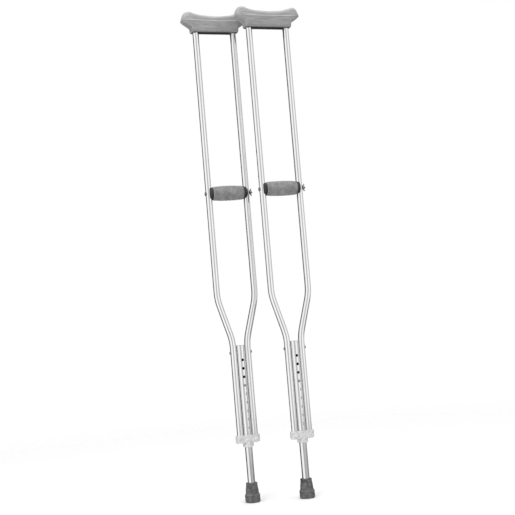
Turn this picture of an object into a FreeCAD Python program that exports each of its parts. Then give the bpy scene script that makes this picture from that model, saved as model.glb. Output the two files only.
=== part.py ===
import FreeCAD, Part
import math
import os
import Sketcher

# A pair of push-button aluminium underarm crutches. +Z is up, the crutches stand
# on z = 0, and the origin is the middle of the left crutch's sole.

doc = FreeCAD.newDocument("underarm_crutches")
sheet = doc.addObject("Spreadsheet::Sheet", "sizes")

# alias, value in millimetres (or a count), what it is
SIZES = [
    ("right_across", 151.0, "right crutch's place, to the left crutch's right"),
    ("right_forward", 62.0, "right crutch's place, in front of the left one"),
    ("side_dia", 19.05, "side tube outside diameter"),
    ("side_wall", 1.25, "side tube wall"),
    ("side_spread", 120.0, "upper spacing of the side tubes, centre to centre"),
    ("side_gap", 0.8, "gap between a side tube and the centre tube"),
    ("lower_corner", 483.0, "height where the side tubes start to spread"),
    ("upper_corner", 610.0, "height where they run straight again"),
    ("bend_radius", 150.0, "centre line radius of both bends"),
    ("centre_dia", 25.4, "centre tube outside diameter"),
    ("centre_wall", 1.3, "centre tube wall"),
    ("centre_top", 468.0, "height of the centre tube's open top"),
    ("leg_dia", 22.2, "leg tube outside diameter"),
    ("leg_wall", 1.25, "leg tube wall"),
    ("leg_above_button", 11.0, "leg tube above the buttons' axis"),
    ("leg_holes", 9, "number of height holes"),
    ("leg_pitch", 25.4, "height hole spacing"),
    ("top_hole", 424.2, "height of the top height hole"),
    ("used_hole", 3, "holes above the one in use"),
    ("button_hole_dia", 8.4, "height hole diameter"),
    ("button_dia", 7.6, "button diameter"),
    ("button_proud", 2.3, "button stands out of the centre tube"),
    ("button_dome", 1.84, "rounding of the button's end"),
    ("button_flange_dia", 10.4, "flange that keeps the button in the leg"),
    ("button_flange", 0.8, "flange thickness"),
    ("button_clear", 0.1, "button to leg hole, radial"),
    ("spring_width", 7.0, "snap spring strip width"),
    ("spring_strip", 0.8, "snap spring strip thickness"),
    ("spring_fold", 5.4, "width of the spring's fold"),
    ("spring_drop", 52.0, "snap spring length below the buttons"),
    ("glide_rim", 4.0, "height of the leg glide's rim"),
    ("glide_depth", 3.5, "leg glide's depth inside the leg"),
    ("glide_clear", 0.1, "leg glide to centre tube, radial"),
    ("rivet_height", 447.0, "height of the long rivet"),
    ("rivet_dia", 5.0, "long rivet diameter"),
    ("rivet_head_dia", 9.6, "long rivet head diameter"),
    ("rivet_head", 2.2, "long rivet head height"),
    ("rivet_dome", 1.54, "rounding of the long rivet's heads"),
    ("hole_clear", 0.1, "radial clearance of fastener holes"),
    ("collar_bottom", 163.5, "height of the collar boss's lower end"),
    ("collar_wings", 176.5, "height of the collar wings' underside"),
    ("collar_top", 200.0, "height of the collar's top"),
    ("collar_seat", 182.0, "height of the tubes' lower ends in the collar"),
    ("collar_wall", 3.3, "collar boss around the centre tube"),
    ("collar_wing_wall", 4.975, "collar wings around the side tubes"),
    ("collar_round", 3.6, "rounding of the collar's edges"),
    ("collar_clear", 0.15, "leg tube to collar bore, radial"),
    ("seat_clear", 0.1, "fixed tube to its socket, radial"),
    ("screw_dia", 3.4, "self-tapping screw diameter"),
    ("screw_head_dia", 7.0, "screw head diameter"),
    ("screw_head", 2.2, "screw head height"),
    ("screw_past", 2.0, "screw beyond the tube's wall"),
    ("collar_screw_height", 191.0, "height of the collar screws"),
    ("tip_dia", 45.5, "rubber tip ring diameter"),
    ("tip_ring", 23.0, "height of the rubber tip's ring"),
    ("tip_waist_dia", 41.0, "rubber tip above its ring"),
    ("tip_neck_dia", 34.5, "rubber tip's upper diameter"),
    ("tip_height", 57.5, "rubber tip height"),
    ("tip_edge", 2.4, "bevels of the rubber tip"),
    ("tip_floor", 10.0, "rubber under the steel disc"),
    ("disc_thick", 2.0, "steel disc in the tip"),
    ("grip_height", 931.0, "height of the handgrip's bolt"),
    ("grip_holes", 7, "number of handgrip holes"),
    ("grip_pitch", 38.1, "handgrip hole spacing"),
    ("grip_hole_clear", 0.325, "handgrip bolt to the holes in the side tubes, radial"),
    ("grip_clear", 0.3, "handgrip's moving parts to the side tubes"),
    ("grip_end_dia", 38.0, "black core end diameter"),
    ("grip_web", 0.8, "thinnest part of the core's ends, between cover and side tube"),
    ("grip_lip", 2.4, "the core's ends stop short of the side tubes' axes"),
    ("core_dia", 22.0, "core under the cover"),
    ("cover_end_dia", 41.0, "cover diameter at its ends"),
    ("cover_mid_dia", 45.5, "cover diameter at its middle"),
    ("bolt_dia", 6.35, "handgrip bolt diameter"),
    ("bolt_head_dia", 9.5, "bolt head diameter"),
    ("bolt_head", 1.7, "bolt head height"),
    ("bolt_dome", 1.2, "rounding of the bolt's head"),
    ("bolt_slot", 1.1, "width of the slot in the bolt's head"),
    ("bolt_slot_depth", 0.8, "depth of the slot"),
    ("bolt_spare", 2.5, "bolt beyond the wing nut"),
    ("thread_clear", 0.05, "wing nut to bolt, radial"),
    ("washer_dia", 12.7, "washer diameter"),
    ("washer_thick", 0.8, "washer thickness"),
    ("nut_hub_dia", 10.5, "wing nut hub diameter"),
    ("nut_hub", 6.0, "wing nut hub length"),
    ("nut_taper", 1.2, "taper of the hub's radius"),
    ("nut_span", 23.0, "wing nut's wings, tip to tip"),
    ("nut_wing", 2.4, "wing thickness"),
    ("wing_inset", 0.7, "wing's root inside each end of the hub"),
    ("wing_lean", 3.3, "near edge of the wing's tip from the hub's face"),
    ("wing_reach", 7.8, "far edge of the wing's tip from the hub's face"),
    ("pad_foot", 1427.0, "height of the underarm pad's underside"),
    ("pad_wall", 11.5, "underarm pad in front of and behind the saddle"),
    ("pad_foot_wall", 5.5, "the same at the pad's underside"),
    ("pad_skirt", 4.5, "pad beyond the side tubes at its underside"),
    ("pad_skirt_rise", 15.0, "height of the pad's straight skirt"),
    ("pad_half", 103.0, "half the pad's length"),
    ("pad_tip_rise", 35.0, "pad's ends above its underside"),
    ("pad_nose", 7.0, "bevel under the pad's ends"),
    ("pad_shoulder", 11.0, "from the crests to the ends' slope"),
    ("pad_shoulder_drop", 2.0, "where the ends' slope starts, below the crests"),
    ("pad_crest", 64.0, "pad's crests above its underside"),
    ("pad_crest_half", 80.0, "crests from the pad's middle"),
    ("pad_middle", 50.0, "pad's middle above its underside"),
    ("pad_round", 7.0, "rounding of the pad's upper edges"),
    ("saddle_wall", 3.975, "saddle in front of and behind the side tubes"),
    ("saddle_wrap", 2.0, "saddle outside the side tubes"),
    ("saddle_nose", 14.0, "height of the saddle's blunt ends"),
    ("saddle_half", 88.0, "half the saddle's length"),
    ("saddle_middle", 32.0, "saddle's middle above its underside"),
    ("saddle_end", 42.0, "saddle's ends above its underside"),
    ("tube_in_saddle", 22.0, "side tube inside the saddle"),
    ("saddle_screw_rise", 12.0, "saddle screws above the underside"),
]
for row, (alias, value, note) in enumerate(SIZES, start=1):
    sheet.set(f"A{row}", alias)
    sheet.set(f"B{row}", str(value))
    sheet.set(f"C{row}", note)
    sheet.setAlias(f"B{row}", alias)
doc.recompute()

# Heights and places that follow from the sizes, as expressions.
SIDE_LOW = "((sizes.centre_dia + sizes.side_dia) / 2 + sizes.side_gap)"
SIDE_HIGH = "(sizes.side_spread / 2)"
SIDE_STEP = f"({SIDE_HIGH} - {SIDE_LOW})"
BUTTON = "(sizes.top_hole - sizes.used_hole * sizes.leg_pitch)"
LEG_FOOT = "(sizes.tip_floor + sizes.disc_thick)"
LEG_TOP = f"({BUTTON} + sizes.leg_above_button)"
LEG_BORE = "(sizes.leg_dia / 2 - sizes.leg_wall)"
CENTRE_BORE = "(sizes.centre_dia / 2 - sizes.centre_wall)"
PAD_SKIRT = f"({SIDE_HIGH} + sizes.side_dia / 2 + sizes.pad_skirt)"
OUTER_SIDE = f"({SIDE_HIGH} + sizes.side_dia / 2 + sizes.grip_clear)"
GRIP_HALF = f"({SIDE_HIGH} - sizes.grip_lip)"
COVER_HALF = f"({SIDE_HIGH} - sizes.side_dia / 2 - sizes.grip_clear - sizes.grip_web)"
NUT_SEAT = f"({OUTER_SIDE} + sizes.washer_thick)"
COLLAR_DIA = "(sizes.centre_dia + 2 * sizes.collar_wall)"
COLLAR_WING_DIA = "(sizes.side_dia + 2 * sizes.collar_wing_wall)"
SADDLE_DEPTH = "(sizes.side_dia + 2 * sizes.saddle_wall)"
PAD_DEPTH = f"({SADDLE_DEPTH} + 2 * sizes.pad_wall)"
PAD_FOOT_DEPTH = f"({SADDLE_DEPTH} + 2 * sizes.pad_foot_wall)"
GRIP_HOLE = "(sizes.bolt_dia + 2 * sizes.grip_hole_clear)"
SCREW_HOLE = "(sizes.screw_dia + 2 * sizes.hole_clear)"
RIVET_HOLE = "(sizes.rivet_dia + 2 * sizes.hole_clear)"
# the buttons' flanges bear on the leg's bore, and the spring on their backs
BUTTON_BACK = (f"(sqrt(({LEG_BORE} - sizes.button_clear) ^ 2 - (sizes.button_flange_dia / 2) ^ 2)"
               " - sizes.button_flange)")


SAME = 1e-4  # lengths closer than this are equal
LEAST_CUT = 1e-3  # a cut takes away at least this volume


def num(expression):
    """The value of an expression written in the sheet's aliases."""
    value = sheet.evalExpression(expression.replace("sizes.", ""))
    return float(getattr(value, "Value", value))


def origin_plane(body, role):
    return next(f for f in body.Origin.OriginFeatures if f.Role == role)


def new_body(node, x="0", y="0", z="0"):
    """A sub-part's body, placed by expressions."""
    body = doc.addObject("PartDesign::Body", node)
    body.Label = node
    for axis, place in (("x", x), ("y", y), ("z", z)):
        body.setExpression(f"Placement.Base.{axis}", place)
    return body


def new_sketch(body, plane="XY_Plane", lift=None):
    """A sketch on one of the body's own planes, lifted along its normal."""
    sketch = body.newObject("Sketcher::SketchObject", f"{body.Name}_sketch")
    sketch.AttachmentSupport = [(origin_plane(body, plane), "")]
    sketch.MapMode = "FlatFace"
    if lift:
        sketch.setExpression("AttachmentOffset.Base.z", lift)
    return sketch


def bind(sketch, kind, *where, size):
    """A driving dimension bound to an expression, always kept positive."""
    index = sketch.addConstraint(Sketcher.Constraint(kind, *where, num(size)))
    sketch.setExpression(f"Constraints[{index}]", size)


def pin(sketch, geometry, point, x, y):
    """Hold one point at (x, y) from the sketch's origin."""
    for kind, axis, size in (("DistanceX", -2, x), ("DistanceY", -1, y)):
        if abs(num(size)) < SAME:
            sketch.addConstraint(Sketcher.Constraint("PointOnObject", geometry, point, axis))
        elif num(size) > 0:
            bind(sketch, kind, -1, 1, geometry, point, size=size)
        else:
            bind(sketch, kind, geometry, point, -1, 1, size=f"-({size})")


def circle(sketch, diameter, x="0", y="0"):
    centre = FreeCAD.Vector(num(x), num(y), 0)
    index = sketch.addGeometry(Part.Circle(centre, FreeCAD.Vector(0, 0, 1), num(diameter) / 2), False)
    bind(sketch, "Diameter", index, size=diameter)
    pin(sketch, index, 3, x, y)


def outline(sketch, corners, sag=None):
    """A closed line through corners. sag = (n, x, y) bends side n through (x, y)."""
    points = [FreeCAD.Vector(num(x), num(y), 0) for x, y in corners]
    first = sketch.GeometryCount
    count = len(points)
    for side, point in enumerate(points):
        far = points[(side + 1) % count]
        if sag and side == sag[0]:
            middle = FreeCAD.Vector(num(sag[1]), num(sag[2]), 0)
            arc = Part.Arc(point, middle, far)
            sketch.addGeometry(arc, False)
        else:
            sketch.addGeometry(Part.LineSegment(point, far), False)
    for side, (x, y) in enumerate(corners):
        before = (side - 1) % count
        start, end = arc_ends(sketch, first + side, points[side])[0], 2
        last = arc_ends(sketch, first + before, points[side])[0]
        sketch.addConstraint(Sketcher.Constraint("Coincident", first + before, last, first + side, start))
        pin(sketch, first + side, start, x, y)
    if sag:
        mark = sketch.addGeometry(Part.Point(middle), True)
        pin(sketch, mark, 1, sag[1], sag[2])
        sketch.addConstraint(Sketcher.Constraint("PointOnObject", mark, 1, first + sag[0]))


def arc_ends(sketch, geometry, point):
    """Which end (1 or 2) of a line or arc lies at a point, then the other."""
    near = (sketch.getPoint(geometry, 1) - point).Length < (sketch.getPoint(geometry, 2) - point).Length
    return (1, 2) if near else (2, 1)


def pad(body, sketch, length, both_ways=False, reverse=False):
    feature = body.newObject("PartDesign::Pad", f"{body.Name}_pad")
    feature.Profile = sketch
    feature.SideType = "Symmetric" if both_ways else "One side"
    feature.Reversed = reverse
    feature.setExpression("Length", length)
    doc.recompute()
    return feature


def pocket(body, sketch, length, both_ways=False, reverse=False):
    """A cut that has to take some material away."""
    before = body.Shape.Volume
    feature = body.newObject("PartDesign::Pocket", f"{body.Name}_pocket")
    feature.Profile = sketch
    feature.SideType = "Symmetric" if both_ways else "One side"
    feature.Reversed = reverse
    feature.setExpression("Length", length)
    doc.recompute()
    if body.Shape.Volume > before - LEAST_CUT:
        raise RuntimeError(f"{body.Label}: a pocket cuts nothing")
    return feature


def turned(body, sketch, axis="V_Axis"):
    """A solid of revolution about one of the sketch's own axes."""
    feature = body.newObject("PartDesign::Revolution", f"{body.Name}_turned")
    feature.Profile = sketch
    feature.ReferenceAxis = (sketch, [axis])
    feature.Angle = 360
    doc.recompute()
    return feature


def row_of(body, feature, count, step, reverse=True):
    """Repeat a feature along the body's Z axis, downwards unless told."""
    pattern = body.newObject("PartDesign::LinearPattern", f"{body.Name}_row")
    pattern.Originals = [feature]
    pattern.Direction = (origin_plane(body, "Z_Axis"), [""])
    pattern.Reversed = reverse
    pattern.setExpression("Length", f"({count} - 1) * {step}")
    pattern.setExpression("Occurrences", count)
    body.Tip = pattern
    doc.recompute()
    return pattern


def round_edges(body, radius, wanted, kind="Fillet"):
    """Fillet or chamfer the edges of the tip that the test picks."""
    base = body.Tip
    names = [f"Edge{n}" for n, edge in enumerate(base.Shape.Edges, start=1) if wanted(edge)]
    feature = body.newObject(f"PartDesign::{kind}", f"{body.Name}_{kind.lower()}")
    feature.Base = (base, names)
    feature.setExpression("Radius" if kind == "Fillet" else "Size", radius)
    doc.recompute()
    return feature


def cross_hole(body, plane, diameter, x, y, depth="sizes.side_spread", both_ways=True, reverse=False,
               lift=None):
    """A round hole along a plane's normal, right through any of the tubes unless told."""
    sketch = new_sketch(body, plane, lift)
    circle(sketch, diameter, x, y)
    return pocket(body, sketch, depth, both_ways, reverse)


def at_height(level):
    """A test for edges that lie at one height."""
    return lambda edge: all(abs(v.Z - level) < SAME for v in edge.Vertexes)


def side_tube(node, x, y, hand):
    """A side tube: straight by the centre tube, bent out, straight up to the saddle."""
    body = new_body(node, f"{x} + {hand} * {SIDE_LOW}", y, "sizes.collar_seat")
    radius = num("sizes.bend_radius")
    rise = num("sizes.upper_corner - sizes.lower_corner")
    step = num(SIDE_STEP)
    turn = math.atan2(step, rise)
    tangent = radius * math.tan(turn / 2)
    low = num("sizes.lower_corner - sizes.collar_seat")
    top = "sizes.pad_foot + sizes.tube_in_saddle - sizes.collar_seat"
    path = new_sketch(body, "XZ_Plane")

    def spot(across, up):
        return FreeCAD.Vector(hand * across, up, 0)

    lean = (math.sin(turn), math.cos(turn))
    ends = [
        spot(0, 0),
        spot(0, low - tangent),
        spot(tangent * lean[0], low + tangent * lean[1]),
        spot(step - tangent * lean[0], low + rise - tangent * lean[1]),
        spot(step, low + rise + tangent),
        spot(step, num(top)),
    ]
    # an arc's middle is this far across and along from the end that lies on a straight run
    aside = radius * (1 - math.cos(turn / 2))
    along = radius * math.sin(turn / 2)
    middle_low = spot(aside, low - tangent + along)
    middle_high = spot(step - aside, low + rise + tangent - along)
    path.addGeometry(Part.LineSegment(ends[0], ends[1]), False)
    path.addGeometry(Part.Arc(ends[1], middle_low, ends[2]), False)
    path.addGeometry(Part.LineSegment(ends[2], ends[3]), False)
    path.addGeometry(Part.Arc(ends[3], middle_high, ends[4]), False)
    path.addGeometry(Part.LineSegment(ends[4], ends[5]), False)
    for before, after, point in ((0, 1, ends[1]), (1, 2, ends[2]), (2, 3, ends[3]), (3, 4, ends[4])):
        near = arc_ends(path, before, point)[0]
        far = arc_ends(path, after, point)[0]
        path.addConstraint(Sketcher.Constraint("Tangent", before, near, after, far))
    path.addConstraint(Sketcher.Constraint("Coincident", 0, 1, -1, 1))
    path.addConstraint(Sketcher.Constraint("Vertical", 0))
    path.addConstraint(Sketcher.Constraint("Vertical", 4))
    bind(path, "Radius", 1, size="sizes.bend_radius")
    path.addConstraint(Sketcher.Constraint("Equal", 1, 3))
    # the two corners are the crossings of the straight runs' centre lines
    for line, level in ((0, "sizes.lower_corner"), (4, "sizes.upper_corner")):
        crossing = spot(0 if line == 0 else step, num(f"{level} - sizes.collar_seat"))
        corner = path.addGeometry(Part.Point(crossing), True)
        path.addConstraint(Sketcher.Constraint("PointOnObject", corner, 1, line))
        path.addConstraint(Sketcher.Constraint("PointOnObject", corner, 1, 2))
        bind(path, "DistanceY", -1, 1, corner, 1, size=f"{level} - sizes.collar_seat")
    pin(path, 4, 2, f"{hand} * {SIDE_STEP}", top)
    ring = new_sketch(body)
    circle(ring, "sizes.side_dia")
    circle(ring, "sizes.side_dia - 2 * sizes.side_wall")
    pipe = body.newObject("PartDesign::AdditivePipe", f"{body.Name}_pipe")
    pipe.Profile = ring
    pipe.Spine = path
    doc.recompute()
    high = "sizes.grip_height + (sizes.grip_holes - 1) / 2 * sizes.grip_pitch - sizes.collar_seat"
    first = cross_hole(body, "YZ_Plane", GRIP_HOLE, "0", high)
    row_of(body, first, "sizes.grip_holes", "sizes.grip_pitch")
    cross_hole(body, "YZ_Plane", RIVET_HOLE, "0", "sizes.rivet_height - sizes.collar_seat")
    # the collar screw enters from behind, the saddle screw from the front
    cross_hole(body, "XZ_Plane", SCREW_HOLE, "0", "sizes.collar_screw_height - sizes.collar_seat",
               "sizes.side_dia", both_ways=False)
    cross_hole(body, "XZ_Plane", SCREW_HOLE, f"{hand} * {SIDE_STEP}",
               "sizes.pad_foot + sizes.saddle_screw_rise - sizes.collar_seat",
               "sizes.side_dia", both_ways=False, reverse=True)


def centre_tube(node, x, y):
    """The sleeve that the leg slides in, with the height holes through it."""
    body = new_body(node, x, y, "sizes.collar_seat")
    ring = new_sketch(body)
    circle(ring, "sizes.centre_dia")
    circle(ring, "sizes.centre_dia - 2 * sizes.centre_wall")
    pad(body, ring, "sizes.centre_top - sizes.collar_seat")
    first = cross_hole(body, "XZ_Plane", "sizes.button_hole_dia", "0", "sizes.top_hole - sizes.collar_seat")
    row_of(body, first, "sizes.leg_holes", "sizes.leg_pitch")
    cross_hole(body, "YZ_Plane", RIVET_HOLE, "0", "sizes.rivet_height - sizes.collar_seat")


def long_rivet(node, x, y):
    """One rivet through all three tubes, with a domed head on each side."""
    body = new_body(node, x, y, "sizes.rivet_height")
    half = f"({SIDE_LOW} + sizes.side_dia / 2)"
    shank = new_sketch(body, "YZ_Plane")
    circle(shank, "sizes.rivet_dia")
    pad(body, shank, f"2 * ({half} + sizes.rivet_head / 2)", both_ways=True)
    for face, back in ((half, False), (f"-{half}", True)):
        head = new_sketch(body, "YZ_Plane", face)
        circle(head, "sizes.rivet_head_dia")
        pad(body, head, "sizes.rivet_head", reverse=back)
    reach = num(f"{half} + sizes.rivet_head")

    def rim(edge):
        return all(abs(abs(v.X) - reach) < SAME for v in edge.Vertexes)

    round_edges(body, "sizes.rivet_dome", rim)


def collar(node, x, y):
    """The moulded bracket that holds the three tubes and guides the leg."""
    body = new_body(node, x, y)
    plan = new_sketch(body, "XY_Plane", "sizes.collar_wings")
    stadium(plan, SIDE_LOW, f"{COLLAR_WING_DIA} / 2")
    pad(body, plan, "sizes.collar_top - sizes.collar_wings")
    levels = (num("sizes.collar_wings"), num("sizes.collar_top"))
    round_edges(body, "sizes.collar_round", lambda e: any(at_height(level)(e) for level in levels))
    boss = new_sketch(body, "XY_Plane", "sizes.collar_bottom")
    circle(boss, COLLAR_DIA)
    pad(body, boss, "sizes.collar_top - sizes.collar_bottom")
    round_edges(body, "sizes.collar_round", at_height(num("sizes.collar_bottom")))
    bore = new_sketch(body, "XY_Plane", "sizes.collar_bottom")
    circle(bore, "sizes.leg_dia + 2 * sizes.collar_clear")
    pocket(body, bore, "sizes.collar_top - sizes.collar_bottom", reverse=True)
    tubes = (("0", "sizes.centre_dia"), (SIDE_LOW, "sizes.side_dia"), (f"-{SIDE_LOW}", "sizes.side_dia"))
    for place, diameter in tubes:
        socket = new_sketch(body, "XY_Plane", "sizes.collar_seat")
        circle(socket, f"{diameter} + 2 * sizes.seat_clear", place)
        pocket(body, socket, "sizes.collar_top - sizes.collar_seat", reverse=True)
    for place in (SIDE_LOW, f"-{SIDE_LOW}"):
        cross_hole(body, "XZ_Plane", SCREW_HOLE, place, "sizes.collar_screw_height",
                   COLLAR_WING_DIA, both_ways=False)


def stadium(sketch, half, radius):
    """Two half circles joined by straight sides, the long way along X."""
    h, r = num(half), num(radius)
    top = Part.LineSegment(FreeCAD.Vector(-h, r, 0), FreeCAD.Vector(h, r, 0))
    low = Part.LineSegment(FreeCAD.Vector(h, -r, 0), FreeCAD.Vector(-h, -r, 0))
    right = Part.Arc(FreeCAD.Vector(h, r, 0), FreeCAD.Vector(h + r, 0, 0), FreeCAD.Vector(h, -r, 0))
    left = Part.Arc(FreeCAD.Vector(-h, -r, 0), FreeCAD.Vector(-h - r, 0, 0), FreeCAD.Vector(-h, r, 0))
    for piece in (top, right, low, left):
        sketch.addGeometry(piece, False)
    for a, b, point in ((0, 1, (h, r)), (1, 2, (h, -r)), (2, 3, (-h, -r)), (3, 0, (-h, r))):
        spot = FreeCAD.Vector(point[0], point[1], 0)
        sketch.addConstraint(Sketcher.Constraint(
            "Tangent", a, arc_ends(sketch, a, spot)[0], b, arc_ends(sketch, b, spot)[0]))
    sketch.addConstraint(Sketcher.Constraint("Horizontal", 0))
    pin(sketch, 1, 3, half, "0")
    pin(sketch, 3, 3, f"-{half}", "0")
    bind(sketch, "Radius", 1, size=radius)


def screws(node, x, y, z, across, seat, way):
    """Two pan-head screws along Y, their heads seated at y = way * seat."""
    body = new_body(node, x, y, z)
    body.AllowCompound = True
    inward = f"{seat} - sizes.side_dia / 2 + sizes.side_wall + sizes.screw_past"
    for place in (across, f"-{across}"):
        shank = new_sketch(body, "XZ_Plane", f"-({way}) * ({seat})")
        circle(shank, "sizes.screw_dia", place)
        pad(body, shank, inward, reverse=(way < 0))
        head = new_sketch(body, "XZ_Plane", f"-({way}) * ({seat})")
        circle(head, "sizes.screw_head_dia", place)
        pad(body, head, "sizes.screw_head", reverse=(way > 0))


def leg_tube(node, x, y):
    """The inner tube, with one pair of holes for the snap buttons."""
    body = new_body(node, x, y, LEG_FOOT)
    ring = new_sketch(body)
    circle(ring, "sizes.leg_dia")
    circle(ring, "sizes.leg_dia - 2 * sizes.leg_wall")
    pad(body, ring, f"{LEG_TOP} - {LEG_FOOT}")
    cross_hole(body, "XZ_Plane", "sizes.button_dia + 2 * sizes.button_clear", "0", f"{BUTTON} - {LEG_FOOT}")


def leg_glide(node, x, y):
    """The plastic end of the leg: a plug in the tube and a rim that fills the sleeve."""
    body = new_body(node, x, y, LEG_TOP)
    plug = new_sketch(body)
    circle(plug, f"2 * {LEG_BORE}")
    pad(body, plug, "sizes.glide_depth", reverse=True)
    rim = new_sketch(body)
    circle(rim, f"2 * ({CENTRE_BORE} - sizes.glide_clear)")
    pad(body, rim, "sizes.glide_rim")


def leg_tip(node, x, y):
    """The rubber foot: a flat sole, a wide ring, and a neck that narrows upwards."""
    body = new_body(node, x, y)
    profile = new_sketch(body, "XZ_Plane")
    socket = "(sizes.leg_dia / 2 + sizes.seat_clear)"
    outline(profile, [
        ("0", "0"),
        ("sizes.tip_dia / 2 - sizes.tip_edge", "0"),
        ("sizes.tip_dia / 2", "sizes.tip_edge"),
        ("sizes.tip_dia / 2", "sizes.tip_ring"),
        ("sizes.tip_waist_dia / 2", "sizes.tip_ring + sizes.tip_edge / 2"),
        ("sizes.tip_neck_dia / 2", "sizes.tip_height - sizes.tip_edge"),
        ("sizes.tip_neck_dia / 2 - sizes.tip_edge", "sizes.tip_height"),
        (socket, "sizes.tip_height"),
        (socket, "sizes.tip_floor"),
        ("0", "sizes.tip_floor"),
    ])
    turned(body, profile)


def tip_disc(node, x, y):
    """The steel disc that keeps the tube from cutting through the rubber."""
    body = new_body(node, x, y, "sizes.tip_floor")
    disc = new_sketch(body)
    circle(disc, "sizes.leg_dia")
    pad(body, disc, "sizes.disc_thick")


def mirrored(corners):
    """The same corners across the sketch's vertical axis, in the order that goes on round."""
    return [(f"-({across})", up) for across, up in reversed(corners)]


def snap_spring(node, x, y):
    """A strip of spring steel folded into a V that pushes the two buttons out."""
    body = new_body(node, x, y, BUTTON)
    face, inner = BUTTON_BACK, f"({BUTTON_BACK} - sizes.spring_strip)"
    top, knee = "sizes.button_dia / 2", "-sizes.button_flange_dia"
    low = "-sizes.spring_drop"
    tight = "sizes.spring_fold / 2"
    right = [(face, top), (face, knee), (tight, low)]
    back = [(f"{tight} - sizes.spring_strip", f"{low} + sizes.spring_strip"), (inner, knee), (inner, top)]
    corners = right + mirrored(right) + mirrored(back) + back
    strip = new_sketch(body, "YZ_Plane")
    outline(strip, corners)
    pad(body, strip, "sizes.spring_width", both_ways=True)


def button(node, x, y, way):
    """A snap button: its shank crosses both tubes, its flange stays in the leg."""
    body = new_body(node, x, y, BUTTON)
    flange = new_sketch(body, "XZ_Plane", f"{way} * {BUTTON_BACK}")
    circle(flange, "sizes.button_flange_dia")
    pad(body, flange, "sizes.button_flange", reverse=(way < 0))
    shank = new_sketch(body, "XZ_Plane", f"{way} * {BUTTON_BACK}")
    circle(shank, "sizes.button_dia")
    pad(body, shank, f"sizes.centre_dia / 2 + sizes.button_proud - {BUTTON_BACK}", reverse=(way < 0))
    end = num("sizes.centre_dia / 2 + sizes.button_proud")

    def rim(edge):
        return all(abs(abs(v.Y) - end) < SAME for v in edge.Vertexes)

    round_edges(body, "sizes.button_dome", rim)


def grip_core(node, x, y):
    """The black plastic sleeve of the handgrip. Its wide ends wrap part way round the side tubes."""
    body = new_body(node, x, y, "sizes.grip_height")
    profile = new_sketch(body, "XZ_Plane")
    bore = "sizes.bolt_dia / 2 + sizes.grip_clear"
    outline(profile, [
        (f"-{GRIP_HALF}", bore),
        (GRIP_HALF, bore),
        (GRIP_HALF, "sizes.grip_end_dia / 2"),
        (COVER_HALF, "sizes.grip_end_dia / 2"),
        (COVER_HALF, "sizes.core_dia / 2"),
        (f"-{COVER_HALF}", "sizes.core_dia / 2"),
        (f"-{COVER_HALF}", "sizes.grip_end_dia / 2"),
        (f"-{GRIP_HALF}", "sizes.grip_end_dia / 2"),
    ])
    turned(body, profile, "H_Axis")
    for place in (SIDE_HIGH, f"-{SIDE_HIGH}"):
        cross_hole(body, "XY_Plane", "sizes.side_dia + 2 * sizes.grip_clear", place, "0",
                   "2 * sizes.grip_end_dia")


def grip_cover(node, x, y):
    """The soft barrel that the hand holds."""
    body = new_body(node, x, y, "sizes.grip_height")
    profile = new_sketch(body, "XZ_Plane")
    corners = [
        (f"-{COVER_HALF}", "sizes.core_dia / 2"),
        (COVER_HALF, "sizes.core_dia / 2"),
        (COVER_HALF, "sizes.cover_end_dia / 2"),
        (f"-{COVER_HALF}", "sizes.cover_end_dia / 2"),
    ]
    outline(profile, corners, sag=(2, "0", "sizes.cover_mid_dia / 2"))
    turned(body, profile, "H_Axis")


def grip_bolt(node, x, y):
    """A slotted dome-head bolt through both side tubes and the grip."""
    body = new_body(node, x, y, "sizes.grip_height")
    head = new_sketch(body, "YZ_Plane", f"-{NUT_SEAT}")
    circle(head, "sizes.bolt_head_dia")
    pad(body, head, "sizes.bolt_head", reverse=True)
    reach = num(f"{NUT_SEAT} + sizes.bolt_head")

    def rim(edge):
        return all(abs(v.X + reach) < SAME for v in edge.Vertexes)

    round_edges(body, "sizes.bolt_dome", rim)
    shank = new_sketch(body, "YZ_Plane", f"-{NUT_SEAT}")
    circle(shank, "sizes.bolt_dia")
    pad(body, shank, f"2 * {NUT_SEAT} + sizes.nut_hub + sizes.bolt_spare")
    half, wide = "sizes.bolt_slot / 2", "sizes.bolt_head_dia"
    slot = new_sketch(body, "YZ_Plane", f"-({NUT_SEAT} + sizes.bolt_head)")
    outline(slot, [(f"-{half}", f"-{wide}"), (half, f"-{wide}"), (half, wide), (f"-{half}", wide)])
    pocket(body, slot, "sizes.bolt_slot_depth", reverse=True)


def washer(node, x, y, side):
    """A flat washer outside a side tube: side -1 under the bolt's head, 1 under the nut."""
    body = new_body(node, f"{x} + {side} * {OUTER_SIDE}", y, "sizes.grip_height")
    ring = new_sketch(body, "YZ_Plane")
    circle(ring, "sizes.washer_dia")
    circle(ring, "sizes.bolt_dia + 2 * sizes.grip_clear")
    pad(body, ring, "sizes.washer_thick", reverse=(side < 0))


def wing_nut(node, x, y):
    """A tapered hub with two wings that lean away from the tube."""
    body = new_body(node, f"{x} + {NUT_SEAT}", y, "sizes.grip_height")
    hub = new_sketch(body, "XZ_Plane")
    bore = "sizes.bolt_dia / 2 + sizes.thread_clear"
    outline(hub, [
        ("0", bore),
        ("sizes.nut_hub", bore),
        ("sizes.nut_hub", "sizes.nut_hub_dia / 2 - sizes.nut_taper"),
        ("0", "sizes.nut_hub_dia / 2"),
    ])
    turned(body, hub, "H_Axis")
    root = "(sizes.nut_hub_dia / 2 - sizes.nut_taper)"
    for side in (1, -1):
        wing = new_sketch(body, "XZ_Plane")
        outline(wing, [(across, f"{side} * ({up})") for across, up in (
            ("sizes.wing_inset", root),
            ("sizes.nut_hub - sizes.wing_inset", root),
            ("sizes.wing_reach", "sizes.nut_span / 2"),
            ("sizes.wing_lean", "sizes.nut_span / 2"),
        )])
        pad(body, wing, "sizes.nut_wing", both_ways=True)


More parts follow.
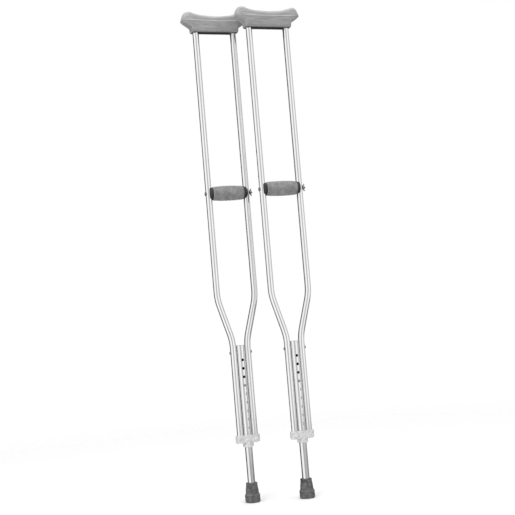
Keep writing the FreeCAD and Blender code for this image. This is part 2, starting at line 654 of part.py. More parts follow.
def saddle_corners():
    """The saddle's outline from the left foot round to the left end."""
    foot = f"({SIDE_HIGH} + sizes.side_dia / 2 + sizes.saddle_wrap)"
    right = [
        (foot, "0"),
        (foot, "sizes.pad_skirt_rise"),
        ("sizes.saddle_half", "sizes.saddle_end - sizes.saddle_nose"),
        ("sizes.saddle_half", "sizes.saddle_end"),
    ]
    return mirrored(right[:1]) + right + mirrored(right[1:])


def saddle(node, x, y):
    """The moulded crosspiece that the side tubes end in."""
    body = new_body(node, x, y, "sizes.pad_foot")
    side = new_sketch(body, "XZ_Plane")
    outline(side, saddle_corners(), sag=(4, "0", "sizes.saddle_middle"))
    pad(body, side, SADDLE_DEPTH, both_ways=True)
    for place in (SIDE_HIGH, f"-{SIDE_HIGH}"):
        socket = new_sketch(body)
        circle(socket, "sizes.side_dia + 2 * sizes.seat_clear", place)
        pocket(body, socket, "sizes.tube_in_saddle + sizes.seat_clear", reverse=True)
        cross_hole(body, "XZ_Plane", SCREW_HOLE, place, "sizes.saddle_screw_rise",
                   f"{SADDLE_DEPTH} / 2", both_ways=False, reverse=True)
        cross_hole(body, "XZ_Plane", "sizes.screw_head_dia + 2 * sizes.hole_clear", place,
                   "sizes.saddle_screw_rise", "sizes.screw_head", both_ways=False,
                   lift=f"{SADDLE_DEPTH} / 2")


def underarm_pad(node, x, y):
    """The soft pad that slips over the saddle, open underneath."""
    body = new_body(node, x, y, "sizes.pad_foot")
    side = new_sketch(body, "XZ_Plane")
    right = [
        (PAD_SKIRT, "0"),
        (PAD_SKIRT, "sizes.pad_skirt_rise"),
        ("sizes.pad_half - sizes.pad_nose", "sizes.pad_tip_rise - sizes.pad_nose"),
        ("sizes.pad_half", "sizes.pad_tip_rise"),
        ("sizes.pad_crest_half + sizes.pad_shoulder", "sizes.pad_crest - sizes.pad_shoulder_drop"),
        ("sizes.pad_crest_half", "sizes.pad_crest"),
    ]
    left = mirrored(right)
    outline(side, left[-1:] + right + left[:-1], sag=(6, "0", "sizes.pad_middle"))
    pad(body, side, PAD_DEPTH, both_ways=True)
    face = num(f"{PAD_DEPTH} / 2")
    level = num("sizes.pad_tip_rise")

    def upper_rim(edge):
        return all(abs(abs(v.Y) - face) < SAME and v.Z > level - SAME for v in edge.Vertexes)

    round_edges(body, "sizes.pad_round", upper_rim)
    for way in (1, -1):
        taper = new_sketch(body, "YZ_Plane")
        outline(taper, [
            (f"{way} * {PAD_FOOT_DEPTH} / 2", "0"),
            (f"{way} * {PAD_DEPTH} / 2", "0"),
            (f"{way} * {PAD_DEPTH} / 2", "sizes.pad_tip_rise"),
        ])
        pocket(body, taper, "2 * sizes.pad_half", both_ways=True)
    cavity = new_sketch(body, "XZ_Plane")
    outline(cavity, saddle_corners(), sag=(4, "0", "sizes.saddle_middle"))
    pocket(body, cavity, SADDLE_DEPTH, both_ways=True)


def crutch(name, x, y):
    """Every piece of one crutch, from the sleeve outwards."""
    centre_tube(f"{name}_centre_tube", x, y)
    side_tube(f"{name}_bolt_side_tube", x, y, -1)
    side_tube(f"{name}_nut_side_tube", x, y, 1)
    long_rivet(f"{name}_long_rivet", x, y)
    collar(f"{name}_collar", x, y)
    screws(f"{name}_collar_screws", x, y, "sizes.collar_screw_height", SIDE_LOW, f"{COLLAR_WING_DIA} / 2", 1)
    leg_tube(f"{name}_leg_tube", x, y)
    leg_glide(f"{name}_leg_glide", x, y)
    leg_tip(f"{name}_leg_tip", x, y)
    tip_disc(f"{name}_tip_disc", x, y)
    snap_spring(f"{name}_snap_spring", x, y)
    button(f"{name}_front_button", x, y, 1)
    button(f"{name}_rear_button", x, y, -1)
    grip_core(f"{name}_grip_core", x, y)
    grip_cover(f"{name}_grip_cover", x, y)
    grip_bolt(f"{name}_grip_bolt", x, y)
    washer(f"{name}_bolt_washer", x, y, -1)
    washer(f"{name}_nut_washer", x, y, 1)
    wing_nut(f"{name}_wing_nut", x, y)
    saddle(f"{name}_saddle", x, y)
    screws(f"{name}_saddle_screws", x, y, "sizes.pad_foot + sizes.saddle_screw_rise", SIDE_HIGH,
           f"{SADDLE_DEPTH} / 2 - sizes.screw_head", -1)
    underarm_pad(f"{name}_underarm_pad", x, y)


crutch("left", "0", "0")
crutch("right", "sizes.right_across", "-sizes.right_forward")
doc.recompute()

for thing in doc.Objects:
    if "Invalid" in thing.State or "Error" in thing.State:
        raise RuntimeError(f"{thing.Label} is {thing.State}")
parts = [thing for thing in doc.Objects if thing.TypeId == "PartDesign::Body"]
for part in parts:
    if part.Shape.isNull() or not part.Shape.isValid() or part.Shape.Volume <= 0:
        raise RuntimeError(f"{part.Label} has no valid shape")
os.makedirs("parts", exist_ok=True)
for part in parts:
    part.Shape.exportStep(f"parts/{part.Label}.step")
    print(part.Label, len(part.Shape.Solids), round(part.Shape.Volume / 1000, 2), "cm3")
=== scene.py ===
import math

import bpy
import numpy as np
from mathutils import Matrix, Vector


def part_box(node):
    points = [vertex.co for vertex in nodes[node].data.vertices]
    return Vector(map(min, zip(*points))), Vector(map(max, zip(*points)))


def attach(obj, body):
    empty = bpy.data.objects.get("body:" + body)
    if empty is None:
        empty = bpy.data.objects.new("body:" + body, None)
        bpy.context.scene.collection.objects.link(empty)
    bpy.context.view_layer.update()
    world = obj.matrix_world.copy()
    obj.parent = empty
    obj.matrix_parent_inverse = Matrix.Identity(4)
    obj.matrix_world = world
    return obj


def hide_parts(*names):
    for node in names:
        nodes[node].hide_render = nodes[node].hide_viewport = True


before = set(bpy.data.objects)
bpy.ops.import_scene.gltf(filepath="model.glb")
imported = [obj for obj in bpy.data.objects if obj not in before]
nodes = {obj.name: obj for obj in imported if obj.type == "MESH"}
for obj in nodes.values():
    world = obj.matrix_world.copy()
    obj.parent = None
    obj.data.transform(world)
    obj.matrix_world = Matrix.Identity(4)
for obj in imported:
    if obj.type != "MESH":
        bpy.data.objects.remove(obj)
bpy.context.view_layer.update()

# A pair of push-button aluminium underarm crutches: foam pads, grips, rubber tips,
# bolts and wing nuts are made here, the tubes and brackets keep their CAD shapes.

sides = ("left", "right")
scene = bpy.context.scene


# numbers to shapes

def cornersOf(node):
    low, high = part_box(node)  # metres
    return np.array(low), np.array(high)


def middleOf(node):
    low, high = cornersOf(node)
    return (low + high) / 2


def lineThrough(points, count, soft):
    # corners joined by straight runs, then averaged over a window `soft` metres long,
    # which rounds every corner by about that much; both ends stay where they are
    points = np.array(points, float)
    run = np.concatenate([[0], np.cumsum(np.linalg.norm(np.diff(points, axis=0), axis=1))])
    fine = np.linspace(0, run[-1], 4000)
    window = max(3, int(soft / run[-1] * fine.size) | 1)
    weights = np.hanning(window + 2)[1:-1]
    weights /= weights.sum()
    half = window // 2
    reach = np.arange(1, half + 1)
    columns = []
    for values in points.T:
        line = np.interp(fine, run, values)
        before = 2 * line[0] - line[reach][::-1]
        after = 2 * line[-1] - line[-1 - reach]
        columns.append(np.convolve(np.concatenate([before, line, after]), weights, "valid"))
    smooth = np.stack(columns, 1)
    length = np.concatenate([[0], np.cumsum(np.linalg.norm(np.diff(smooth, axis=0), axis=1))])
    places = count if np.ndim(count) else np.linspace(0, 1, count)
    return np.stack([np.interp(places * length[-1], length, c) for c in smooth.T], 1)


def roundedProfile(corners, perArc=6):
    # corners are (along, out, radius): each corner is swapped for an arc of that radius
    spots = np.array([c[:2] for c in corners], float)
    line = [spots[0]]
    for before, here, after, radius in zip(spots, spots[1:], spots[2:], [c[2] for c in corners[1:-1]]):
        if radius <= 0:
            line.append(here)
            continue
        back = (before - here) / np.linalg.norm(before - here)
        on = (after - here) / np.linalg.norm(after - here)
        halfAngle = math.acos(np.clip(back @ on, -1, 1)) / 2
        setBack = radius / math.tan(halfAngle)
        centre = here + (back + on) / np.linalg.norm(back + on) * radius / math.sin(halfAngle)
        start, end = here + back * setBack - centre, here + on * setBack - centre
        swing = math.acos(np.clip(start @ end / radius ** 2, -1, 1))
        for share in np.linspace(0, 1, perArc):
            line.append(centre + (math.sin((1 - share) * swing) * start
                                  + math.sin(share * swing) * end) / math.sin(swing))
    line.append(spots[-1])
    return np.array(line)


def refine(profile, step):
    # the same profile with points no further apart than step
    pieces = []
    for a, b in zip(profile[:-1], profile[1:]):
        cuts = max(1, int(np.ceil(np.linalg.norm(b - a) / step)))
        pieces.append(a + (b - a) * np.arange(cuts)[:, None] / cuts)
    return np.concatenate(pieces + [profile[-1:]])


def ripples(points, size, seed, waves=9):
    # soft unevenness from -1 to 1: the mean of sine waves of about one size that
    # run in fixed random directions
    draw = np.random.default_rng(seed)
    ways = draw.normal(size=(waves, 3))
    ways /= np.linalg.norm(ways, axis=1)[:, None]
    pitch = size * draw.uniform(0.6, 1.6, waves)
    phase = draw.uniform(0, 2 * math.pi, waves)
    angles = points @ (ways / pitch[:, None]).T * 2 * math.pi + phase
    return np.sin(angles).sum(-1) / math.sqrt(waves)


def turnedGrid(profile, centre, axis, columns):
    # every profile point (along, out) goes once round the axis: the circle of
    # radius `out` at the place `along`
    angle = np.linspace(0, 2 * math.pi, columns, endpoint=False)
    along = np.repeat(profile[:, :1], columns, 1)
    across, up = profile[:, 1:] * np.cos(angle), profile[:, 1:] * np.sin(angle)
    order = (along, across, up) if axis == "x" else (across, up, along)
    return np.stack(order, -1) + np.array(centre)


def makeMesh(name, grid, loop=False, poles=(None, None)):
    # columns run round and join; rows run along, and either join too (loop)
    # or end in a pole point at each end
    rows, columns = grid.shape[:2]
    index = np.arange(rows * columns).reshape(rows, columns)
    here = index if loop else index[:-1]
    there = np.roll(index, -1, 0) if loop else index[1:]
    quads = np.stack([here, np.roll(here, -1, 1), np.roll(there, -1, 1), there], -1).reshape(-1, 4)
    points = grid.reshape(-1, 3)
    fans = []
    for pole, ring, way in ((poles[0], index[0], 1), (poles[1], index[-1], -1)):
        if pole is not None:
            tip = np.full(columns, len(points))
            points = np.concatenate([points, np.array(pole, float)[None]])
            fans.append(np.stack([tip, np.roll(ring, -1), ring][::way], -1))
    triangles = np.concatenate(fans) if fans else np.zeros((0, 3), int)
    split = np.concatenate([quads[:, [0, 1, 2]], quads[:, [0, 2, 3]], triangles])
    a, b, c = (points[split[:, k]] for k in range(3))
    if np.einsum("ij,ij->", a, np.cross(b, c)) < 0:  # inside out: turn every face round
        quads, triangles = quads[:, ::-1], triangles[:, ::-1]
    mesh = bpy.data.meshes.new(name)
    mesh.from_pydata(points.tolist(), [], quads.tolist() + triangles.tolist())
    return mesh


def smoothMesh(mesh, sharpAngle=40):
    mesh.polygons.foreach_set("use_smooth", np.ones(len(mesh.polygons), bool))
    mesh.set_sharp_from_angle(angle=math.radians(sharpAngle))
    mesh.update()


def showPiece(name, mesh, finish, body, standsFor, sharpAngle=40):
    smoothMesh(mesh, sharpAngle)
    mesh.materials.clear()
    mesh.materials.append(finish)
    piece = bpy.data.objects.new(name, mesh)
    scene.collection.objects.link(piece)
    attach(piece, body)
    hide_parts(standsFor)
    return piece


def finishedMesh(piece):
    # the mesh with its modifiers worked in; the helper object goes
    graph = bpy.context.evaluated_depsgraph_get()
    mesh = bpy.data.meshes.new_from_object(piece.evaluated_get(graph))
    bpy.data.objects.remove(piece)
    return mesh


def helperObject(mesh):
    helper = bpy.data.objects.new(mesh.name + "Helper", mesh)
    scene.collection.objects.link(helper)
    return helper


# finishes

def startFinish(name, constants):
    material = bpy.data.materials.new(name)
    material.use_nodes = True
    tree = material.node_tree
    shader = tree.nodes["Principled BSDF"]
    for socket, value in constants.items():
        shader.inputs[socket].default_value = value
    where = tree.nodes.new("ShaderNodeTexCoord").outputs["Object"]
    return material, tree, shader, where


def put(tree, kind, values=None, **feeds):
    node = tree.nodes.new("ShaderNode" + kind)
    for socket, value in (values or {}).items():
        node.inputs[socket].default_value = value
    for socket, source in feeds.items():
        tree.links.new(source, node.inputs[socket])
    return node


def grain(tree, where, perMetre, detail=4.0, rough=0.55, stretch=(1, 1, 1)):
    stretched = put(tree, "Mapping", {"Scale": stretch}, Vector=where).outputs[0]
    return put(tree, "TexNoise", {"Scale": perMetre, "Detail": detail, "Roughness": rough},
               Vector=stretched).outputs[0]


def cells(tree, where, perMetre):
    return put(tree, "TexVoronoi", {"Scale": perMetre}, Vector=where).outputs["Distance"]


def between(tree, source, low, high, fromLow=0.3, fromHigh=0.7):
    # the source's run from fromLow to fromHigh becomes low to high
    ends = {"From Min": fromLow, "From Max": fromHigh, "To Min": low, "To Max": high}
    return put(tree, "MapRange", ends, Value=source).outputs[0]


def worked(tree, operation, first, second):
    # one sum of two sources
    node = put(tree, "Math")
    node.operation = operation
    for source, socket in zip((first, second), node.inputs):
        tree.links.new(source, socket)
    return node.outputs[0]


def vectorWorked(tree, operation, source, other=(0, 0, 0)):
    node = put(tree, "VectorMath", Vector=source)
    node.operation = operation
    node.inputs[1].default_value = other
    return node.outputs["Vector" if operation == "MULTIPLY" else "Value"]


def grey(tone):
    return (tone, tone, tone, 1)


def tones(tree, source, stops):
    # stops are (place, grey)
    node = put(tree, "ValToRGB", Fac=source)
    ramp = node.color_ramp
    while len(ramp.elements) < len(stops):
        ramp.elements.new(0.5)
    for element, (place, tone) in zip(ramp.elements, stops):
        element.position = place
        element.color = grey(tone)
    return node.outputs[0]


def mixed(tree, share, first, second, kind="MIX"):
    node = tree.nodes.new("ShaderNodeMix")
    node.data_type = "RGBA"
    node.blend_type = kind
    for socket, source in ((node.inputs[0], share), (node.inputs[6], first), (node.inputs[7], second)):
        if isinstance(source, bpy.types.NodeSocket):
            tree.links.new(source, socket)
        else:
            socket.default_value = source
    return node.outputs[2]


def relief(tree, shader, layers):
    # layers are (height, depth in metres), laid one on another
    normal = None
    for height, depth in layers:
        node = put(tree, "Bump", {"Strength": 1.0, "Distance": depth}, Height=height)
        if normal:
            tree.links.new(normal, node.inputs["Normal"])
        normal = node.outputs[0]
    tree.links.new(normal, shader.inputs["Normal"])


def feed(tree, shader, **sources):
    names = {"colour": "Base Color", "roughness": "Roughness"}
    for key, source in sources.items():
        tree.links.new(source, shader.inputs[names[key]])


def aluminiumFinish(name, look):
    # drawn tube: fine lines along Z, cloudy handling marks, a few long scratches
    material, tree, shader, where = startFinish(name, {"Metallic": 1.0})
    drawn = grain(tree, where, look["lines"], 3.0, 0.6, (1, 1, 0.012))
    clouds = grain(tree, where, look["clouds"], 5.0, 0.6, (1, 1, 0.5))
    scratch = grain(tree, where, look["scratches"], 2.0, 0.5, (1, 1, 0.05))
    peaks = (0.66, 0.72)  # only the noise's highest parts are scratches
    thin = between(tree, scratch, 0.0, 1.0, *peaks)
    tone = tones(tree, clouds, [(0.30, look["dark"]), (0.70, look["light"])])
    lined = mixed(tree, between(tree, drawn, 0.0, 0.35), tone, grey(look["line"]))
    feed(tree, shader, colour=mixed(tree, thin, lined, grey(look["light"])))
    base = between(tree, clouds, look["smooth"], look["dull"])
    rougher = between(tree, scratch, 0.0, look["scratchDull"], *peaks)
    feed(tree, shader, roughness=worked(tree, "ADD", base, rougher))
    relief(tree, shader, [(drawn, look["lineDepth"]), (clouds, look["dentDepth"])])
    # painted shade in the sleeve's bore
    if "inside" in look:
        paintBoreShade(tree, shader, where, look["inside"])
    return material


def paintBoreShade(tree, shader, where, radius):
    # painted shade in the bore: what lies nearer than radius to a sleeve's axis is coloured near black and
    # has no metal shine
    far = []
    for side in sides:
        axis = middleOf(f"{side}_centre_tube")
        flat = vectorWorked(tree, "MULTIPLY", where, (1, 1, 0))
        far.append(vectorWorked(tree, "DISTANCE", flat, (axis[0], axis[1], 0)))
    bore = between(tree, worked(tree, "MINIMUM", *far), 1.0, 0.0, radius - .0002, radius)
    colour = shader.inputs["Base Color"].links[0].from_socket
    feed(tree, shader, colour=mixed(tree, bore, colour, grey(.02)))
    tree.links.new(between(tree, bore, 1.0, 0.0, 0.0, 1.0), shader.inputs["Metallic"])


def steelFinish(name, look):
    # zinc-plated or polished steel: small crystals of tone, light wear
    material, tree, shader, where = startFinish(name, {"Metallic": 1.0})
    patches = grain(tree, where, look["patches"], 6.0, 0.65)
    spots = grain(tree, where, look["spots"], 3.0, 0.6)
    tone = tones(tree, patches, [(0.30, look["dark"]), (0.72, look["light"])])
    feed(tree, shader, colour=tone, roughness=between(tree, spots, look["smooth"], look["dull"]))
    relief(tree, shader, [(spots, look["depth"])])
    return material


def plasticFinish(name, look):
    # moulded plastic: speckled grain, cloudy tone, faint mould texture
    material, tree, shader, where = startFinish(name, {"IOR": look["ior"]})
    clouds = grain(tree, where, look["clouds"], 4.0, 0.5)
    speckle = grain(tree, where, look["speckle"], 3.0, 0.7)
    tone = tones(tree, clouds, [(0.32, look["dark"]), (0.70, look["light"])])
    fleck = between(tree, speckle, 0.0, look["fleckShare"], 0.52, 0.70)
    feed(tree, shader, colour=mixed(tree, fleck, tone, grey(look["fleck"])),
         roughness=between(tree, speckle, look["smooth"], look["dull"]))
    relief(tree, shader, [(speckle, look["depth"]), (clouds, look["wave"])])
    return material


def padFinish(name, look):
    # skinned foam: leathery cells, long soft creases along X, a painted highlight on what looks up
    material, tree, shader, where = startFinish(name, {"Sheen Weight": 0.12, "Sheen Roughness": 0.6})
    clouds = grain(tree, where, look["clouds"], 5.0, 0.6, (0.5, 1, 1))
    skin = cells(tree, where, look["cells"])
    creases = grain(tree, where, look["creases"], 4.0, 0.55, (0.10, 1, 1))
    tone = tones(tree, clouds, [(0.28, look["dark"]), (0.72, look["light"])])
    shaded = mixed(tree, between(tree, creases, 0.0, look["creaseShare"], 0.42, 0.62), tone,
                   grey(look["crease"]))
    # painted highlight: the welt's ridge is coloured lighter than the skin
    welt = put(tree, "Attribute")
    welt.attribute_name = "welt"
    bare = mixed(tree, welt.outputs["Fac"], shaded, grey(look["welt"]))
    # painted highlight: faces that look up are mixed towards a lighter grey
    facing = tree.nodes.new("ShaderNodeNewGeometry").outputs["Normal"]
    upward = put(tree, "SeparateXYZ", Vector=facing).outputs["Z"]
    paintedTopHighlight = between(tree, upward, 0.0, look["paintedTopHighlightShare"], 0.10, 0.75)
    lit = mixed(tree, paintedTopHighlight, bare, grey(look["paintedTopHighlight"]))
    feed(tree, shader, colour=lit, roughness=between(tree, clouds, look["smooth"], look["dull"]))
    relief(tree, shader, [(skin, look["cellDepth"]), (creases, look["creaseDepth"])])
    return material


def foamFinish(name, look):
    # open foam: pores of two sizes with painted shade in their hollows, mottled tone
    material, tree, shader, where = startFinish(name, {"Sheen Weight": 0.25, "Sheen Roughness": 0.5})
    mottle = grain(tree, where, look["mottle"], 6.0, 0.7)
    pores = cells(tree, where, look["pores"])
    fine = grain(tree, where, look["fine"], 2.0, 0.7)
    tone = tones(tree, mottle, [(0.34, look["dark"]), (0.66, look["light"])])
    # painted shade: the pores' hollows are coloured darker
    poreShade = between(tree, pores, look["poreShadeShare"], 0.0, 0.05, 0.45)
    feed(tree, shader, colour=mixed(tree, poreShade, tone, grey(look["poreShade"])),
         roughness=between(tree, fine, look["smooth"], look["dull"]))
    relief(tree, shader, [(pores, look["poreDepth"]), (fine, look["fineDepth"])])
    return material


def rubberFinish(name, look):
    # moulded rubber: dusty bloom, scuffs low down by the floor, a pale line at the step
    material, tree, shader, where = startFinish(name, {"IOR": 1.52})
    bloom = grain(tree, where, look["bloom"], 6.0, 0.65)
    fine = grain(tree, where, look["fine"], 3.0, 0.7)
    tone = tones(tree, bloom, [(0.30, look["dark"]), (0.72, look["light"])])
    height = put(tree, "SeparateXYZ", Vector=where).outputs["Z"]
    low = between(tree, height, look["scuffShare"], 0.0, 0.0, look["scuffHeight"])
    scuffed = mixed(tree, worked(tree, "MULTIPLY", low, bloom), tone, grey(look["scuff"]))
    step, half, soft = look["step"], look["stepHalf"], look["stepSoft"]
    above = between(tree, height, 0.0, look["stepShare"], step - half - soft, step - half)
    below = between(tree, height, 1.0, 0.0, step + half, step + half + soft)
    band = worked(tree, "MULTIPLY", above, below)
    feed(tree, shader, colour=mixed(tree, band, scuffed, grey(look["scuff"])),
         roughness=between(tree, fine, look["smooth"], look["dull"]))
    relief(tree, shader, [(fine, look["depth"]), (bloom, look["wave"])])
    return material


finishes = {
    "sideTube": aluminiumFinish("sideTubeAluminium", {
        "lines": 900, "clouds": 22, "scratches": 260, "dark": 0.84, "light": 0.90, "line": 0.78,
        "smooth": 0.07, "dull": 0.13, "scratchDull": 0.08, "lineDepth": 0.000005, "dentDepth": 0.00003}),
    # the sleeve's inside radius bounds the painted shade in its bore
    "sleeve": aluminiumFinish("sleeveAluminium", {
        "lines": 800, "clouds": 30, "scratches": 300, "dark": 0.82, "light": 0.90, "line": 0.74,
        "smooth": 0.07, "dull": 0.14, "scratchDull": 0.10, "lineDepth": 0.000005, "dentDepth": 0.00003,
        "inside": 0.0122}),
    "legTube": aluminiumFinish("legAluminium", {
        "lines": 1000, "clouds": 28, "scratches": 420, "dark": 0.80, "light": 0.88, "line": 0.70,
        "smooth": 0.08, "dull": 0.16, "scratchDull": 0.14, "lineDepth": 0.000008, "dentDepth": 0.00003}),
    "brightSteel": steelFinish("zincSteel", {
        "patches": 500, "spots": 1800, "dark": 0.24, "light": 0.48, "smooth": 0.24, "dull": 0.42,
        "depth": 0.00003}),
    "buttonSteel": steelFinish("buttonSteel", {
        "patches": 300, "spots": 2200, "dark": 0.30, "light": 0.46, "smooth": 0.18, "dull": 0.32,
        "depth": 0.00001}),
    "springSteel": steelFinish("springSteel", {
        "patches": 240, "spots": 1500, "dark": 0.28, "light": 0.42, "smooth": 0.25, "dull": 0.40,
        "depth": 0.00002}),
    "collar": plasticFinish("collarPlastic", {
        "ior": 1.49, "clouds": 130, "speckle": 300, "dark": 0.42, "light": 0.74, "fleck": 0.26,
        "fleckShare": 0.70, "smooth": 0.38, "dull": 0.60, "depth": 0.00016, "wave": 0.0003}),
    "saddle": plasticFinish("saddlePlastic", {
        "ior": 1.49, "clouds": 50, "speckle": 800, "dark": 0.05, "light": 0.08, "fleck": 0.12,
        "fleckShare": 0.30, "smooth": 0.42, "dull": 0.62, "depth": 0.00005, "wave": 0.0002}),
    "blackPlastic": plasticFinish("blackPlastic", {
        "ior": 1.50, "clouds": 90, "speckle": 1100, "dark": 0.012, "light": 0.022, "fleck": 0.05,
        "fleckShare": 0.25, "smooth": 0.34, "dull": 0.52, "depth": 0.00004, "wave": 0.0001}),
    # the pad's lighter grey for what looks up is a painted highlight
    # the pad's welt grey is a painted highlight on the welt's ridge
    "pad": padFinish("padSkin", {
        "clouds": 30, "cells": 520, "creases": 260, "dark": 0.270, "light": 0.360, "crease": 0.19,
        "creaseShare": 0.60, "welt": 0.52, "paintedTopHighlight": 0.42, "paintedTopHighlightShare": 0.60, "smooth": 0.48,
        "dull": 0.66, "cellDepth": 0.00022, "creaseDepth": 0.00030}),
    # the grip foam's darkest grey is painted shade in the pores
    "gripFoam": foamFinish("gripFoam", {
        "mottle": 70, "pores": 900, "fine": 2600, "dark": 0.140, "light": 0.275, "poreShade": 0.08,
        "poreShadeShare": 0.35, "smooth": 0.75, "dull": 0.92, "poreDepth": 0.00022, "fineDepth": 0.00010}),
    "rubber": rubberFinish("tipRubber", {
        "bloom": 100, "fine": 1500, "dark": 0.030, "light": 0.160, "scuff": 0.30, "scuffShare": 0.5,
        "scuffHeight": 0.006, "step": 0.0232, "stepHalf": 0.0006, "stepSoft": 0.0010, "stepShare": 0.28,
        "smooth": 0.62, "dull": 0.85, "depth": 0.00008, "wave": 0.0003}),
}
print("finishes made:", len(finishes))


# what keeps its CAD shape

cadFinish = {
    "centre_tube": "sleeve", "bolt_side_tube": "sideTube", "nut_side_tube": "sideTube",
    "leg_tube": "legTube", "long_rivet": "buttonSteel", "collar": "collar",
    "collar_screws": "brightSteel", "leg_glide": "blackPlastic", "tip_disc": "brightSteel",
    "snap_spring": "springSteel", "front_button": "buttonSteel", "rear_button": "buttonSteel",
    "grip_core": "blackPlastic", "bolt_washer": "brightSteel", "nut_washer": "brightSteel",
    "saddle": "saddle", "saddle_screws": "brightSteel",
}
for side in sides:
    for part, finish in cadFinish.items():
        mesh = nodes[f"{side}_{part}"].data
        mesh.materials.clear()
        mesh.materials.append(finishes[finish])
print("CAD nodes finished:", 2 * len(cadFinish))


# underarm pads

pad = {
    "top": [(0, .0500), (.016, .0505), (.041, .0524), (.049, .0538), (.0665, .0590), (.0804, .0640),
            (.0917, .0618), (.0968, .0550), (.0992, .0490), (.1015, .0420), (.1030, .0355)],
    "welt": [(0, .0315), (.030, .0318), (.060, .0328), (.080, .0338), (.095, .0348), (.1030, .0355)],
    "foot": [(0, 0), (.030, 0), (.060, 0), (.0722, .0001), (.0740, .0020), (.0742, .0080), (.0748, .0136),
             (.080, .0184), (.088, .0234), (.096, .0284), (.1012, .0326), (.1030, .0355)],
    "halfDepth": .0250, "footShare": .76, "crown": 3.3, "footCorner": 7.0, "endCorner": 5.0,
    "crownHigh": .024, "footHigh": .033, "crownPoints": 30, "footPoints": 40,
    "weltHigh": .0008, "weltHalf": .0012, "weltPoints": 9, "creases": (.30, .55, .76),
    "creaseDeep": .00035, "creaseHalf": .028, "wander": .03, "wanderPerMetre": 55, "wanderShift": 20,
    "soft": .007, "core": .030, "uneven": .00035, "unevenSize": .035, "stations": 300, "clear": .0003,
}


def padSection():
    # one half of the section, from the top's middle down to the foot's middle, as
    # (rise, out, ridge): rise 1 is the top line, 0 the welt, -1 the foot; out is the
    # share of the half depth. Both quarters are superellipses |rise|^n + out^n = 1,
    # the lower one narrowing evenly to footShare
    quarter = np.linspace(0, math.pi / 2, 400)
    halves = []
    quarters = ((pad["crown"], pad["crownHigh"], 0, 1, pad["crownPoints"]),
                (pad["footCorner"], pad["footHigh"], 1 - pad["footShare"], -1, pad["footPoints"]))
    for power, height, taper, way, count in quarters:
        rise = np.cos(quarter) ** (2 / power)
        out = np.sin(quarter) ** (2 / power) * (1 - taper * rise)
        line = np.stack([rise, out], 1)
        size = np.array([height, pad["halfDepth"]])
        length = np.concatenate([[0], np.cumsum(np.linalg.norm(np.diff(line * size, axis=0), axis=1))])
        places = np.linspace(0, length[-1], count)
        line = np.stack([np.interp(places, length, c) for c in line.T], 1)
        line[:, 0] *= way
        halves.append(line if way > 0 else line[::-1])
    # the welt between them: a half circle's ridge over its width
    share = np.linspace(-1, 1, pad["weltPoints"])
    rise = -share * pad["weltHalf"] / np.where(share < 0, pad["crownHigh"], pad["footHigh"])
    bead = np.stack([rise, np.ones(share.size)], 1)
    bump = np.sqrt(np.clip(1 - share ** 2, 0, 1))
    ridge = np.concatenate([np.zeros(pad["crownPoints"] - 1), bump, np.zeros(pad["footPoints"] - 1)])
    half = np.concatenate([halves[0][:-1], bead, halves[1][1:]])
    return half[:, 0], half[:, 1], ridge


def makePad(side):
    low, high = cornersOf(f"{side}_underarm_pad")
    middle, foot = (low + high) / 2, low[2]
    # along: -1 and 1 are the two ends, closer together near them
    along = np.sin(np.linspace(-1, 1, pad["stations"] + 2)[1:-1] * math.pi / 2)
    lines = {}
    for key in ("top", "welt", "foot"):
        half = np.array(pad[key])
        whole = np.concatenate([half[::-1] * (-1, 1), half[1:]])
        soft = pad["soft"] / (2 if key == "foot" else 1)
        lines[key] = lineThrough(whole, (along + 1) / 2, soft)
    rise, out, ridge = padSection()
    rise, out, ridge = (np.concatenate([v, v[-2:0:-1]]) for v in (rise, out, ridge))
    way = np.concatenate([np.ones(len(rise) // 2 + 1), -np.ones(len(rise) - len(rise) // 2 - 1)])
    # a point is the welt's place, plus its rise towards the top line or the foot line,
    # plus the half depth across; the half depth closes at the ends as 1 - |x|^n
    up, down = np.clip(rise, 0, 1)[None, :, None], np.clip(-rise, 0, 1)[None, :, None]
    flat = (lines["welt"][:, None] + up * (lines["top"] - lines["welt"])[:, None]
            + down * (lines["foot"] - lines["welt"])[:, None])
    endX, endZ = pad["welt"][-1]
    n = pad["endCorner"]
    plan = (1 - (np.abs(flat[..., 0]) / (endX * 1.0005)) ** n).clip(0) ** (1 / n)
    depth = pad["halfDepth"] * plan * out
    fade = 1 - np.abs(along[:, None]) ** 10
    face = np.clip(out, 0, 1) ** 6
    for place in pad["creases"]:
        wave = np.sin(flat[..., 0] * pad["wanderPerMetre"] + place * pad["wanderShift"])
        gap = (down[..., 0] - place - pad["wander"] * wave) / pad["creaseHalf"]
        depth -= pad["creaseDeep"] * fade * face * np.exp(-gap ** 2)
    depth += ridge * pad["weltHigh"] * fade
    points = np.stack([flat[..., 0], depth * way, flat[..., 1]], -1)
    # the foam's unevenness goes out from the core, a line along X
    outward = points * (.1, 1, 1) - (0, 0, pad["core"])
    outward /= np.linalg.norm(outward, axis=-1, keepdims=True) + 1e-9
    swell = ripples(points + middle, pad["unevenSize"], 4) * pad["uneven"] * fade
    points[..., 1:] += (outward * swell[..., None])[..., 1:] * (down[..., 0] < .97)[..., None]
    points += np.array([middle[0], middle[1], foot])
    ends = [np.array([middle[0] + end * endX, middle[1], foot + endZ]) for end in (-1, 1)]
    mesh = makeMesh(f"{side}PadForm", points, poles=ends)
    # the welt attribute marks the ridge that the finish paints lighter, a painted highlight
    welt = mesh.attributes.new("welt", "FLOAT", "POINT")
    weltHighlightMask = (ridge > .3) * fade ** 2
    welt.data.foreach_set("value", np.concatenate([weltHighlightMask.ravel(), [0, 0]]).astype(np.float32))
    body = helperObject(mesh)
    cutter = helperObject(saddleSpace(middle, foot))
    cut = body.modifiers.new("saddleSpace", "BOOLEAN")
    cut.operation, cut.solver, cut.object = "DIFFERENCE", "EXACT", cutter
    mesh = finishedMesh(body)
    bpy.data.objects.remove(cutter)
    mesh.name = f"{side}UnderarmPad"
    return mesh


saddle = {"footHalf": .0715, "skirt": .015, "noseLow": .028, "sag": .032, "below": .010}


